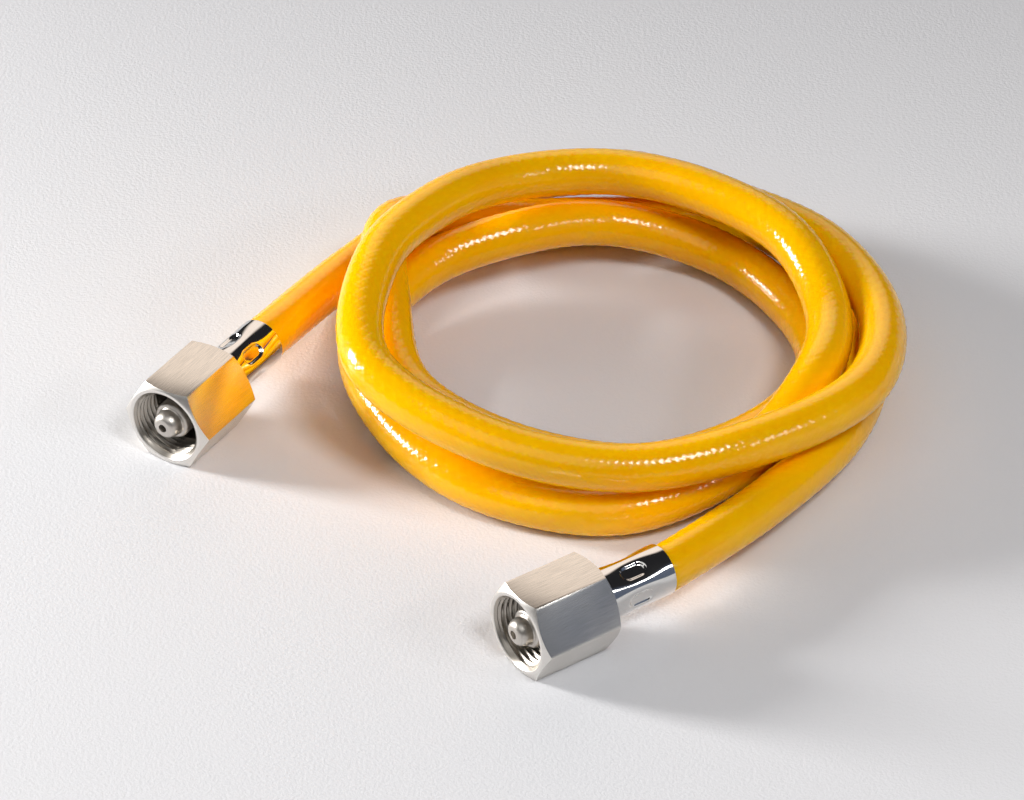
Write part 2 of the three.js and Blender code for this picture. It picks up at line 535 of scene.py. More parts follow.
class Relief:
    """A Geometry Nodes tree that moves points outwards by a height worked out from named attributes.

    A piece holds for each point the attributes outward (a vector), along and around (metres and
    radians) and share (0 where the surface stays, 1 where the relief is full).
    """

    def __init__(self, name: str, sizes: list[tuple[str, float]]) -> None:
        """Makes the tree's sockets.

        Args:
            name: the tree's name.
            sizes: the named sizes and their values, in metres or counts.
        """
        self.tree = bpy.data.node_groups.new(name, "GeometryNodeTree")
        face = self.tree.interface
        face.new_socket(name="Geometry", in_out="INPUT", socket_type="NodeSocketGeometry")
        self.sizes: dict[str, tuple[str, float]] = {}
        for title, value in sizes:
            socket = face.new_socket(name=title, in_out="INPUT", socket_type="NodeSocketFloat")
            self.sizes[title] = (socket.identifier, value)
        finish = face.new_socket(name="Finish", in_out="INPUT", socket_type="NodeSocketMaterial")
        self.finish = finish.identifier
        face.new_socket(name="Geometry", in_out="OUTPUT", socket_type="NodeSocketGeometry")
        self.start = self.tree.nodes.new("NodeGroupInput")

    def size(self, title: str) -> Socket:
        """Gives the socket of a named size."""
        return self.start.outputs[title]

    def attribute(self, name: str, kind: str = "FLOAT") -> Socket:
        """Reads an attribute of the points.

        Args:
            name: the attribute's name.
            kind: its data type.

        Returns:
            Its value.
        """
        node = self.tree.nodes.new("GeometryNodeInputNamedAttribute")
        node.data_type = kind
        node.inputs["Name"].default_value = name
        return node.outputs["Attribute"]

    def maths(self, operation: str, first: Socket | float, second: Socket | float = 0.0) -> Socket:
        """Adds a step of arithmetic.

        Args:
            operation: the operation's name.
            first: the first value.
            second: the second value.

        Returns:
            The result.
        """
        node = self.tree.nodes.new("ShaderNodeMath")
        node.operation = operation
        for socket, value in zip(node.inputs, (first, second)):
            if isinstance(value, Socket):
                self.tree.links.new(value, socket)
            else:
                socket.default_value = value
        return node.outputs["Value"]

    def close(self, height: Socket) -> None:
        """Ends the tree: the points move by the height, and the surface takes its material.

        Args:
            height: how far each point moves.
        """
        shift = self.tree.nodes.new("ShaderNodeVectorMath")
        shift.operation = "SCALE"
        self.tree.links.new(self.attribute("outward", "FLOAT_VECTOR"), shift.inputs[0])
        scaled = self.maths("MULTIPLY", height, self.attribute("share"))
        self.tree.links.new(scaled, shift.inputs["Scale"])
        move = self.tree.nodes.new("GeometryNodeSetPosition")
        real = self.tree.nodes.new("GeometryNodeRealizeInstances")
        paint = self.tree.nodes.new("GeometryNodeSetMaterial")
        stop = self.tree.nodes.new("NodeGroupOutput")
        self.tree.links.new(self.start.outputs["Geometry"], move.inputs["Geometry"])
        self.tree.links.new(shift.outputs["Vector"], move.inputs["Offset"])
        self.tree.links.new(move.outputs["Geometry"], real.inputs["Geometry"])
        self.tree.links.new(real.outputs["Geometry"], paint.inputs["Geometry"])
        self.tree.links.new(self.attribute("worked", "BOOLEAN"), paint.inputs["Selection"])
        self.tree.links.new(self.start.outputs["Finish"], paint.inputs["Material"])
        self.tree.links.new(paint.outputs["Geometry"], stop.inputs["Geometry"])

    def apply(self, piece: bpy.types.Object, finish: bpy.types.Material) -> None:
        """Runs the tree on a piece and keeps the result as its plain mesh.

        Args:
            piece: the piece.
            finish: the material of the faces that are marked as worked.
        """
        modifier = piece.modifiers.new(self.tree.name, "NODES")
        modifier.node_group = self.tree
        for identifier, value in self.sizes.values():
            modifier[identifier] = value
        modifier[self.finish] = finish
        evaluated = piece.evaluated_get(bpy.context.evaluated_depsgraph_get())
        result = bpy.data.meshes.new_from_object(evaluated)
        piece.modifiers.clear()
        old = piece.data
        name = old.name
        piece.data = result
        bpy.data.meshes.remove(old)
        result.name = name
        for used in ("outward", "along", "around", "share", "worked"):
            result.attributes.remove(result.attributes[used])


def mark(
    mesh: bpy.types.Mesh,
    outward: np.ndarray,
    along: np.ndarray,
    around: np.ndarray,
    share: np.ndarray,
    worked: np.ndarray,
) -> None:
    """Stores what a relief tree reads.

    Args:
        mesh: the mesh.
        outward: a vector for each point.
        along: a distance for each point.
        around: an angle for each point.
        share: how much of the relief each point takes.
        worked: True for each face that takes the tree's material.
    """
    layer = mesh.attributes.new("outward", "FLOAT_VECTOR", "POINT")
    layer.data.foreach_set("vector", outward.astype(np.float32).ravel())
    for name, values in (("along", along), ("around", around), ("share", share)):
        layer = mesh.attributes.new(name, "FLOAT", "POINT")
        layer.data.foreach_set("value", values.astype(np.float32).ravel())
    mesh.attributes.new("worked", "BOOLEAN", "FACE").data.foreach_set("value", worked)


def braid_relief(depth: float, pitch: float, yarns: float) -> Relief:
    """Builds the tree of the knobs that the braid under the jacket raises.

    Args:
        depth: their height in metres.
        pitch: from one knob to the next along the hose, in metres.
        yarns: how many knobs go round the hose.

    Returns:
        The relief.
    """
    relief = Relief("braid_relief", [("Depth", depth), ("Pitch", pitch), ("Yarns", yarns)])
    turns = relief.maths("DIVIDE", relief.attribute("along"), relief.size("Pitch"))
    axial = relief.maths("MULTIPLY", turns, math.tau)
    radial = relief.maths("MULTIPLY", relief.attribute("around"), relief.size("Yarns"))
    knobs = relief.maths("MULTIPLY", relief.maths("COSINE", axial), relief.maths("COSINE", radial))
    relief.close(relief.maths("MULTIPLY", knobs, relief.size("Depth")))
    return relief


def thread_relief(depth: float, pitch: float) -> Relief:
    """Builds the tree of an inside screw thread: a trapezoid that climbs one pitch a turn.

    Args:
        depth: from crest to root, in metres.
        pitch: from crest to crest, in metres.

    Returns:
        The relief.
    """
    relief = Relief("thread_relief", [("Depth", depth), ("Pitch", pitch)])
    turns = relief.maths("DIVIDE", relief.attribute("along"), relief.size("Pitch"))
    screw = relief.maths("SUBTRACT", turns, relief.maths("DIVIDE", relief.attribute("around"), math.tau))
    tooth = relief.maths("PINGPONG", screw, 0.5)
    steep = relief.maths("MULTIPLY", relief.maths("SUBTRACT", tooth, 0.25), 3.0)
    flat = relief.maths("MINIMUM", relief.maths("MAXIMUM", steep, -0.5), 0.5)
    relief.close(relief.maths("MULTIPLY", flat, relief.size("Depth")))
    return relief


# Hose


@dataclass
class HoseRoute:
    """The line that the hose follows, in millimetres: straight in each ferrule, and a loose coil between.

    Attributes:
        coil_radius: the coil's mean radius.
        hose_diameter: the hose's outside.
        middle: the coil's middle, in coil radii.
        first_station: the angle of the first station, in degrees.
        station_step: the angle from one station to the next, in degrees.
        floor_to_line: the height of the line where the hose lies on the floor.
        radii: how far each station lies from the middle, in coil radii, a row for each turn.
        lifts: how far each station is lifted off the floor, in hose diameters.
        straight: the places on each fitting's axis that the line goes through.
        span_places: how many places each curve from one point to the next is worked out at.
    """

    coil_radius: float = 60.0
    hose_diameter: float = 12.0
    middle: tuple[float, float] = (0.4367, 0.4567)
    first_station: float = -60.0
    station_step: float = 30.0
    floor_to_line: float = 6.1
    radii: tuple[tuple[float, ...], ...] = (
        (1.25, 1.1, 1.075, 1.125, 1.133, 1.05, 1.067, 1.125, 0.992, 1.025, 0.992, 0.883),
        (0.8, 0.833, 0.867, 0.842, 0.867, 0.842, 0.808, 0.983, 1.108, 1.083, 1.117, 1.108),
        (1, 0.942, 0.9, 0.867, 0.833, 0.867, 0.892, 0.908, 1.042, 1.225, 1.175, 1.133),
        (1.125, 1.175, 1.125, 1.058, 1, 1.117, 1.317, 1.333),
    )
    lifts: tuple[tuple[float, ...], ...] = (
        (0.292, 0.083, 0, 0.042, 0.208, 0, 0.333, 1.542, 1.333, 1.042, 0.875, 0.333),
        (0.042, 0.083, 0, 0.042, 0.167, 0.583, 0.875, 0.583, 0.333, 0.042, 0.042, 0.042),
        (0.417, 1.125, 1.125, 1.583, 1.792, 1.875, 2.042, 2.417, 2.458, 2.042, 1.583, 1.25),
        (1.333, 1.292, 1.042, 1.083, 1.083, 1.042, 0.375, 0.042),
    )
    straight: Triple = (25.8, 39.5, 47.5)
    span_places: int = 40

    def stations(self, near: "EndPlace", far: "EndPlace") -> np.ndarray:
        """Lists the points that the line goes through.

        Args:
            near: where the near fitting lies.
            far: where the far fitting lies.

        Returns:
            The points in millimetres.
        """
        points = [near.on_axis(along) for along in self.straight]
        radii = [radius for turn in self.radii for radius in turn]
        lifts = [lift for turn in self.lifts for lift in turn]
        for number, (radius, lift) in enumerate(zip(radii, lifts)):
            angle = math.radians(self.first_station + self.station_step * number)
            x = self.coil_radius * (self.middle[0] + radius * math.cos(angle))
            y = self.coil_radius * (self.middle[1] + radius * math.sin(angle))
            points.append((x, y, self.floor_to_line + self.hose_diameter * lift))
        points += [far.on_axis(along) for along in reversed(self.straight)]
        return np.array(points)

    def line(self, points: np.ndarray, step: float) -> np.ndarray:
        """Draws a smooth line through the points, and divides it evenly.

        Args:
            points: the points in millimetres.
            step: the distance between two places on the line.

        Returns:
            The places in millimetres.
        """
        before = 2 * points[0] - points[1]
        after = 2 * points[-1] - points[-2]
        held = np.vstack([before, points, after])
        share = np.linspace(0, 1, self.span_places, endpoint=False)[:, None]
        spans = []
        for start in range(len(points) - 1):
            a, b, c, d = held[start : start + 4]
            spans.append(
                0.5
                * (
                    2 * b
                    + (c - a) * share
                    + (2 * a - 5 * b + 4 * c - d) * share**2
                    + (3 * b - a - 3 * c + d) * share**3
                )
            )
        dense = np.vstack([*spans, points[-1:]])
        length = distances(dense)
        places = np.linspace(0, length[-1], round(length[-1] / step) + 1)
        return np.stack([np.interp(places, length, dense[:, axis]) for axis in range(3)], axis=1)


@dataclass
class EndPlace:
    """Where an end fitting lies: the middle of its nut's front face, and the way to the hose.

    Attributes:
        end: which end it is.
        x: the front face's place, in millimetres.
        y: the front face's place, in millimetres.
        heading: the axis's angle from X, in degrees.
        first_dimple: the angle of the first crimp dimple round the axis, in degrees.
        height: the axis's height above the floor, half the nut's width across flats.
    """

    end: End
    x: float
    y: float
    heading: float
    first_dimple: float
    height: float = 22.225 / 2

    def on_axis(self, along: float) -> Triple:
        """Finds the point on the axis at a distance from the nut's front face, in millimetres."""
        angle = math.radians(self.heading)
        return (self.x + along * math.cos(angle), self.y + along * math.sin(angle), self.height)

    def matrix(self) -> Matrix:
        """Gives the transform of the fitting's own frame, whose X axis is the fitting's axis, in metres."""
        turn = Matrix.Rotation(math.radians(self.heading), 4, "Z")
        return Matrix.Translation(Vector((self.x, self.y, self.height)) * MM) @ turn


@dataclass
class Hose:
    """The braided hose: a tube along its route, thinner where the ferrules squeeze it.

    Attributes:
        route: its route.
        near: where the near fitting lies.
        far: where the far fitting lies.
        finishes: the finishes of the object.
        radius: its outer radius, in millimetres as every size here.
        bore: its inner radius.
        sides: how many faces go round it.
        step: from one ring of its faces to the next.
        lining_step: how many rings of the outside there are to one of the bore.
        knob: the height of the knobs that the braid raises.
        knob_pitch: from one knob to the next along the hose.
        knobs_round: how many knobs go round it.
        knob_fade: how far from the ferrule the knobs reach their full height.
        crimped: its outer radius in a ferrule.
        crimp_end: where the squeeze starts to ease, from the hose's end.
        mouth: where the squeeze ends.
        rim: the width of its end face on its map.
    """

    route: HoseRoute
    near: EndPlace
    far: EndPlace
    finishes: Finishes
    radius: float = 6.1
    bore: float = 3.175
    sides: int = 44
    step: float = 0.9
    lining_step: int = 6
    knob: float = 0.08
    knob_pitch: float = 3.6
    knobs_round: int = 8
    knob_fade: float = 4.0
    crimped: float = 4.7
    crimp_end: float = 12.0
    mouth: float = 18.6
    rim: float = 3.0

    def frames(self, line: np.ndarray) -> tuple[np.ndarray, np.ndarray]:
        """Carries a pair of cross directions along the line without twist.

        Args:
            line: the line's places.

        Returns:
            The two directions at each place.
        """
        tangents = np.gradient(line, axis=0)
        tangents /= np.linalg.norm(tangents, axis=1)[:, None]
        across = np.zeros_like(line)
        across[0] = np.cross((0, 0, 1), tangents[0])
        for number in range(1, len(line)):
            moved = across[number - 1] - tangents[number] * (across[number - 1] @ tangents[number])
            across[number] = moved / np.linalg.norm(moved)
        across[0] /= np.linalg.norm(across[0])
        return across, np.cross(tangents, across)

    def radius_at(self, from_end: np.ndarray) -> np.ndarray:
        """Finds the hose's outer radius at distances from its nearer end, in millimetres."""
        squeezed = smooth(from_end, self.crimp_end, self.mouth)
        return self.crimped + (self.radius - self.crimped) * squeezed

    def build(self) -> tuple[bpy.types.Object, np.ndarray]:
        """Makes the hose.

        Returns:
            The object, and the line that it follows in metres.
        """
        line = self.route.line(self.route.stations(self.near, self.far), self.step)
        across, up = self.frames(line)
        places = distances(line)
        from_end = np.minimum(places, places[-1] - places)
        angles = np.linspace(0, math.tau, self.sides, endpoint=False)
        outward = across[:, None, :] * np.cos(angles)[None, :, None]
        outward = outward + up[:, None, :] * np.sin(angles)[None, :, None]
        outer_radius = self.radius_at(from_end)
        outer = (line[:, None, :] + outward * outer_radius[:, None, None]) * MM
        inside = slice(None, None, self.lining_step)
        bore_line = np.vstack([line[inside], line[-1:]])
        bore_out = np.vstack([outward[inside], outward[-1:]])
        bore = (bore_line[:, None, :] + bore_out * self.bore) * MM
        bore_places = np.append(places[inside], places[-1])
        builder = MeshBuilder("hose_jacket")
        skin = builder.add(Sheet(outer, places * MM))
        lining = builder.add(Sheet(bore[::-1], bore_places[::-1] * MM))
        builder.bridge(skin[-1], lining[0], places[-1] * MM, (places[-1] + self.rim) * MM)
        builder.bridge(lining[-1], skin[0], -self.rim * MM, 0.0)
        mesh = builder.mesh()
        pad = bore.shape[0] * self.sides
        share = smooth(from_end, self.mouth, self.mouth + self.knob_fade)
        mark(
            mesh,
            np.concatenate([outward.reshape(-1, 3), np.zeros((pad, 3))]),
            np.concatenate([np.repeat(places * MM, self.sides), np.zeros(pad)]),
            np.concatenate([np.tile(angles, len(line)), np.zeros(pad)]),
            np.concatenate([np.repeat(share, self.sides), np.zeros(pad)]),
            np.ones(len(mesh.polygons), dtype=bool),
        )
        hose = place_object(mesh, [self.finishes.jacket])
        relief = braid_relief(self.knob * MM, self.knob_pitch * MM, float(self.knobs_round))
        relief.apply(hose, self.finishes.jacket)
        return hose, line * MM


# End fittings


@dataclass
class SwivelNut:
    """A nut turned from hexagon bar, with a threaded socket and a hole for the nipple's neck.

    Attributes:
        across_flats: the hexagon's width, in millimetres as every length here.
        length: from the front face to the rear face.
        front_face: the front face's radius, where its chamfer starts.
        rear_face: the rear face's radius.
        chamfer: how steeply the chamfers cut the corners off.
        mouth: the radius of the socket's mouth.
        thread_middle: the thread's middle radius.
        thread_depth: from crest to root.
        pitch: from crest to crest.
        threaded: where the thread ends.
        thread_start: where its first ring of faces lies.
        run_in: where the thread starts to rise from the mouth, and where it is full.
        run_out: how far before its end the thread starts to fade.
        socket: the socket's depth.
        neck_hole: the radius of the hole for the neck.
        hole_break: how much the hole's edges are broken.
        relief: how much wider than the thread's middle the socket is behind it.
        relief_step: how far behind the thread it is that wide.
        corner: how much the socket's corner is filled.
        mouth_break: how much the mouth's edge is broken.
        face_width: the width of the front face on the nut's map.
        columns: how many faces go round it.
        rows_a_pitch: how many rings of faces one pitch takes.
        edge: how much the outer edges are broken.
        edge_angle: the bend of an edge that is broken, in degrees.
        sharp_angle: the bend of an edge that is left sharp, in degrees.
    """

    across_flats: float = 22.225
    length: float = 22.9
    front_face: float = 10.7
    rear_face: float = 11.1
    chamfer: float = math.tan(math.radians(30))
    mouth: float = 9.75
    thread_middle: float = 9.13
    thread_depth: float = 0.78
    pitch: float = 1.5875
    threaded: float = 10.5
    thread_start: float = 0.62
    run_in: tuple[float, float] = (0.55, 1.5)
    run_out: float = 2.2
    socket: float = 15.8
    neck_hole: float = 5.9
    hole_break: float = 0.3
    relief: float = 0.4
    relief_step: float = 0.8
    corner: float = 0.2
    mouth_break: float = 0.16
    face_width: float = 0.9
    columns: int = 120
    rows_a_pitch: int = 8
    edge: float = 0.14
    edge_angle: float = 18.0
    sharp_angle: float = 35.0

    def hexagon(self, angles: np.ndarray) -> np.ndarray:
        """Finds how far the hexagon's outline lies from the axis, with a corner at angle 0."""
        sixth = math.pi / 3
        return self.across_flats / 2 / np.cos(np.abs(np.mod(angles, sixth) - sixth / 2))

    def build(self, name: str, place: Matrix, finishes: Finishes) -> bpy.types.Object:
        """Makes the nut.

        Args:
            name: the piece's name.
            place: the fitting's transform.
            finishes: the finishes of the object.

        Returns:
            The nut.
        """
        angles = np.linspace(0, math.tau, self.columns, endpoint=False)
        flat = self.hexagon(angles)
        same = np.ones(self.columns)
        front = (flat - self.front_face) * self.chamfer
        rear = self.length - (flat - self.rear_face) * self.chamfer
        wide = self.thread_middle + self.relief
        rows = [
            (0 * same, self.front_face * same),
            (front, flat),
            (rear, flat),
            (self.length * same, self.rear_face * same),
            (self.length * same, (self.neck_hole + self.relief) * same),
            ((self.length - self.relief) * same, self.neck_hole * same),
            ((self.socket + self.hole_break) * same, self.neck_hole * same),
            (self.socket * same, (self.neck_hole + self.hole_break) * same),
            (self.socket * same, (wide - self.corner) * same),
            ((self.socket - self.corner) * same, wide * same),
            ((self.threaded + self.relief_step) * same, wide * same),
        ]
        hole_rows, mouth_rows = 7, 2
        threads = np.arange(self.threaded, self.thread_start, -self.pitch / self.rows_a_pitch)
        rows += [(along * same, self.thread_middle * same) for along in threads]
        rows.append((self.mouth_break * same, self.mouth * same))
        rows.append((0 * same, (self.mouth + self.mouth_break) * same))
        along = np.array([row[0] for row in rows])
        radius = np.array([row[1] for row in rows])
        middle = np.stack([along[:, 0], radius[:, 0]], axis=1)
        path = distances(middle) * MM
        builder = MeshBuilder(name)
        numbers = builder.add(Sheet(ring_points(along, radius, angles), path))
        builder.bridge(numbers[-1], numbers[0], path[-1], path[-1] + self.face_width * MM)
        mesh = builder.mesh()
        outward = np.zeros((len(rows), self.columns, 3))
        outward[:, :, 1] = np.cos(angles)
        outward[:, :, 2] = np.sin(angles)
        full = smooth(self.threaded - along, 0.0, self.run_out) * smooth(along, *self.run_in)
        full[: len(rows) - len(threads) - mouth_rows] = 0
        full[-mouth_rows:] = 0
        band = np.arange(len(mesh.polygons)) // self.columns
        turned = (band != 1).astype(np.int32)
        mesh.polygons.foreach_set("material_index", turned)
        socket = (band >= hole_rows) & (band < len(rows) - mouth_rows)
        mark(mesh, outward, along * MM, np.tile(angles, len(rows)), full, socket)
        nut = place_object(mesh, [finishes.bar, finishes.turned])
        # The socket's faces take the socket finish, whose darker colour is painted shade in the recess.
        thread_relief(self.thread_depth * MM, self.pitch * MM).apply(nut, finishes.socket)
        self.break_edges(nut.data)
        nut.data.transform(place)
        return nut

    def break_edges(self, mesh: bpy.types.Mesh) -> None:
        """Rounds the sharp outer edges a little and keeps the flats flat.

        Args:
            mesh: the nut's mesh, with X as its axis.
        """
        work = bmesh.new()
        work.from_mesh(mesh)
        outer = (self.front_face + self.mouth) / 2 * MM
        sharp = [
            edge
            for edge in work.edges
            if len(edge.link_faces) == 2
            and edge.calc_face_angle(0) > math.radians(self.edge_angle)
            and all(math.hypot(vertex.co.y, vertex.co.z) > outer for vertex in edge.verts)
        ]
        bmesh.ops.bevel(
            work,
            geom=sharp,
            offset=self.edge * MM,
            offset_type="OFFSET",
            segments=2,
            profile=0.5,
            affect="EDGES",
            clamp_overlap=True,
            material=1,
        )
        work.to_mesh(mesh)
        work.free()
        mesh.set_sharp_from_angle(angle=math.radians(self.sharp_angle))


@dataclass
class Nipple:
    """The bored nipple: bullet nose, shoulder, flange inside the nut, grooved neck and barbed tail.

    Attributes:
        columns: how many faces go round it.
        nose_steps: how many faces the nose's curve takes.
        tip: where the nose's flat tip lies, in millimetres from the nut's front face.
        tip_radius: the radius of the flat tip.
        tip_break: how long and wide the broken edge of the tip is.
        nose: the nose's radius.
        nose_length: the length of the nose's curve.
        bead: the places and radii of the bead behind the nose.
        shoulder: the shoulder's radius.
        shoulder_end: where it ends.
        neck: the neck's radius.
        flange: the flange's radius.
        flange_start: where the flange starts.
        flange_end: where it ends.
        groove: the radius of the groove for the ferrule's lip.
        groove_start: where the groove starts.
        groove_end: where it ends.
        neck_end: where the neck ends.
        neck_tail: the radius of the neck behind the groove.
        tail: the tail's radius.
        barb: a barb's radius.
        barbs: where the barbs start.
        barb_length: the length of a barb.
        tail_end: where the tail ends.
        bore: the bore's radius in the tail.
        tip_bore: its radius in the nose.
        bore_break: how long and wide the broken edge of the bore is.
        edge: how much the edges are broken.
        sharp_angle: the bend of an edge that is left sharp, in degrees.
    """

    columns: int = 72
    nose_steps: int = 14
    tip: float = -1.0
    tip_radius: float = 1.75
    tip_break: tuple[float, float] = (0.06, 0.25)
    nose: float = 3.7
    nose_length: float = 2.8
    bead: tuple[tuple[float, float], ...] = ((2.45, 3.7), (2.7, 3.95), (2.7, 4.35), (2.85, 4.75))
    shoulder: float = 5.0
    shoulder_end: float = 9.0
    neck: float = 5.6
    flange: float = 7.8
    flange_start: float = 12.6
    flange_end: float = 15.4
    groove: float = 4.2
    groove_start: float = 23.4
    groove_end: float = 24.9
    neck_end: float = 25.5
    neck_tail: float = 5.65
    tail: float = 2.3
    barb: float = 2.72
    barbs: tuple[float, ...] = (27.1, 30.7, 34.3, 37.9)
    barb_length: float = 2.9
    tail_end: float = 41.5
    bore: float = 1.6
    tip_bore: float = 1.1
    bore_break: tuple[float, float] = (0.1, 0.02)
    edge: float = 0.2
    sharp_angle: float = 38.0

    def profile(self) -> list[tuple[float, float]]:
        """Draws the nipple's outline, from the nose's rim round to the bore.

        Returns:
            Places along the axis and radii, in millimetres.
        """
        start = self.tip + self.tip_break[0]
        outline = [
            (self.tip, self.tip_bore + self.bore_break[1]),
            (self.tip, self.tip_radius - self.tip_break[1]),
            (start, self.tip_radius),
        ]
        for number in range(1, self.nose_steps + 1):
            share = number / self.nose_steps * math.pi / 2
            along = start + self.nose_length * (1 - math.cos(share))
            outline.append((along, self.tip_radius + (self.nose - self.tip_radius) * math.sin(share)))
        outline += [
            *self.bead,
            (self.bead[-1][0] + 2 * self.edge, self.shoulder),
            (self.shoulder_end - self.edge, self.shoulder),
            (self.shoulder_end, self.shoulder - self.edge),
            (self.shoulder_end, self.neck),
            (self.flange_start, self.neck),
            (self.flange_start, self.flange - self.edge),
            (self.flange_start + self.edge, self.flange),
            (self.flange_end - self.edge, self.flange),
            (self.flange_end, self.flange - self.edge),
            (self.flange_end, self.neck),
            (self.groove_start, self.neck),
            (self.groove_start, self.groove),
            (self.groove_end, self.groove),
            (self.groove_end, self.neck_tail),
            (self.neck_end, self.neck_tail),
            (self.neck_end, self.tail),
        ]
        for along in self.barbs:
            outline += [(along, self.tail), (along, self.barb), (along + self.barb_length, self.tail)]
        outline += [(self.tail_end, self.tail), (self.tail_end, self.bore), (self.flange_start, self.bore)]
        outline += [(self.flange_start, self.tip_bore), (self.tip + self.bore_break[0], self.tip_bore)]
        return outline

    def build(self, name: str, place: Matrix, finishes: Finishes) -> bpy.types.Object:
        """Makes the nipple.

        Args:
            name: the piece's name.
            place: the fitting's transform.
            finishes: the finishes of the object.

        Returns:
            The nipple.
        """
        outline = np.array(self.profile())
        angles = np.linspace(0, math.tau, self.columns, endpoint=False)
        path = distances(outline) * MM
        builder = MeshBuilder(name)
        numbers = builder.add(Sheet(ring_points(outline[:, 0], outline[:, 1], angles), path))
        builder.bridge(numbers[-1], numbers[0], path[-1], path[-1] + self.bore_break[0] * MM)
        mesh = builder.mesh(place)
        mesh.set_sharp_from_angle(angle=math.radians(self.sharp_angle))
        return place_object(mesh, [finishes.nipple])


@dataclass
class Ferrule:
    """The drawn sleeve, crimped onto the hose by a row of jaws that each leave a flat dimple.

    Attributes:
        start: where it starts, from the nut's front face, in millimetres as every length here.
        stop: where it ends.
        inside: its inner radius.
        wall: its wall's thickness.
        bend: the radius of the bend from its lip to its body.
        lip: the lip's thickness.
        lip_radius: the radius of the hole in the lip.
        row: where the row of dimples lies.
        dimples: how many there are.
        dimple_length: a dimple's length along the axis.
        dimple_width: its width round the sleeve.
        dimple_depth: how far its floor is pressed in.
        dimple_edge: the width of its rounded rim.
        waist_depth: how far the sleeve is drawn in round the dimples.
        ring_depth: how far it is drawn in between them.
        waist_length: how long the drawn-in part is.
        columns: how many faces go round it.
        rows: how many rings of faces its body takes.
        bend_steps: how many places the bend is worked out at.
        end_steps: how many places the rounded end is worked out at.
        sharp_angle: the bend of an edge that is left sharp, in degrees.
    """

    start: float = 23.7
    stop: float = 43.5
    inside: float = 6.25
    wall: float = 0.4
    bend: float = 0.45
    lip: float = 0.9
    lip_radius: float = 4.5
    row: float = 33.2
    dimples: int = 5
    dimple_length: float = 6.9
    dimple_width: float = 3.9
    dimple_depth: float = 0.6
    dimple_edge: float = 0.9
    waist_depth: float = 0.5
    ring_depth: float = 0.1
    waist_length: float = 17.0
    columns: int = 200
    rows: int = 100
    bend_steps: int = 6
    end_steps: int = 9
    sharp_angle: float = 60.0

    def pressed_in(self, along: np.ndarray, angles: np.ndarray, first: float) -> np.ndarray:
        """Finds how far the jaws pressed the sleeve in.

        Args:
            along: places along the axis, one for each row.
            angles: angles round the axis, one for each column.
            first: the angle of the first dimple, in radians.

        Returns:
            The depths in millimetres, rows by columns.
        """
        pitch = math.tau / self.dimples
        turn = angles - first
        turn = turn - pitch * np.round(turn / pitch)
        away = np.abs(along - self.row)[:, None]
        beyond = np.maximum(away - (self.dimple_length - self.dimple_width) / 2, 0)
        apart = np.hypot(beyond, turn[None, :] * (self.inside + self.wall))
        half, soft = self.dimple_width / 2, self.dimple_edge / 2
        floor = 1 - smooth(apart, half - soft, half + soft)
        waist = 1 - smooth(away, 0, self.waist_length / 2)
        wave = 0.5 + 0.5 * np.cos(turn * self.dimples)
        return self.dimple_depth * floor + waist * (self.ring_depth + self.waist_depth * wave[None, :])

    def build(self, name: str, place: EndPlace, finishes: Finishes) -> bpy.types.Object:
        """Makes the ferrule.

        Args:
            name: the piece's name.
            place: where the fitting lies.
            finishes: the finishes of the object.

        Returns:
            The ferrule.
        """
        outside = self.inside + self.wall
        rim, bend = self.wall / 2, self.bend
        body = np.linspace(self.start + bend + rim, self.stop - 1.5 * rim, self.rows)
        outline = [(self.start, self.lip_radius)]
        for turn in np.linspace(math.pi / 2, 0, self.bend_steps):
            outline.append((self.start + bend * (1 - math.sin(turn)), outside - bend * (1 - math.cos(turn))))
        outline += [(along, outside) for along in body]
        for turn in np.linspace(0, math.pi, self.end_steps):
            outline.append((self.stop - rim + rim * math.sin(turn), outside - rim + rim * math.cos(turn)))
        outline += [(along, self.inside) for along in body[::-2]]
        outline += [(self.start + self.lip, self.inside), (self.start + self.lip, self.lip_radius)]
        points = np.array(outline)
        angles = np.linspace(0, math.tau, self.columns, endpoint=False)
        along = np.repeat(points[:, :1], self.columns, axis=1)
        # The angle is counted from the side that faces -Y, over the top
        depth = self.pressed_in(points[:, 0], math.pi - angles, math.radians(place.first_dimple))
        radius = points[:, 1:] - depth * (points[:, 1:] > self.lip_radius)
        path = distances(points) * MM
        builder = MeshBuilder(name)
        numbers = builder.add(Sheet(ring_points(along, radius, angles), path))
        builder.bridge(numbers[-1], numbers[0], path[-1], path[-1] + self.lip * MM)
        mesh = builder.mesh(place.matrix())
        mesh.set_sharp_from_angle(angle=math.radians(self.sharp_angle))
        return place_object(mesh, [finishes.steel])


@dataclass
class EndFitting:
    """A nut, a nipple and a ferrule on one end of the hose."""

    place: EndPlace
    finishes: Finishes
    nut: SwivelNut = field(default_factory=SwivelNut)
    nipple: Nipple = field(default_factory=Nipple)
    ferrule: Ferrule = field(default_factory=Ferrule)

    def build(self) -> dict[str, bpy.types.Object]:
        """Makes the fitting's pieces, each on its body.

        Returns:
            The pieces by their CAD node's name.
        """
        letter = self.place.end.value
        matrix = self.place.matrix()
        pieces = {
            f"nut_{letter}": self.nut.build(f"threaded_nut_{letter}", matrix, self.finishes),
            f"nipple_{letter}": self.nipple.build(f"bored_nipple_{letter}", matrix, self.finishes),
            f"ferrule_{letter}": self.ferrule.build(f"crimped_ferrule_{letter}", self.place, self.finishes),
        }
        for node, piece in pieces.items():
            kind = node.split("_")[0]
            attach(piece, node if kind == "nut" else BODY)
            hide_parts(node)
            LOG.info("%s: %d faces", piece.name, len(piece.data.polygons))
        return pieces


# Studio


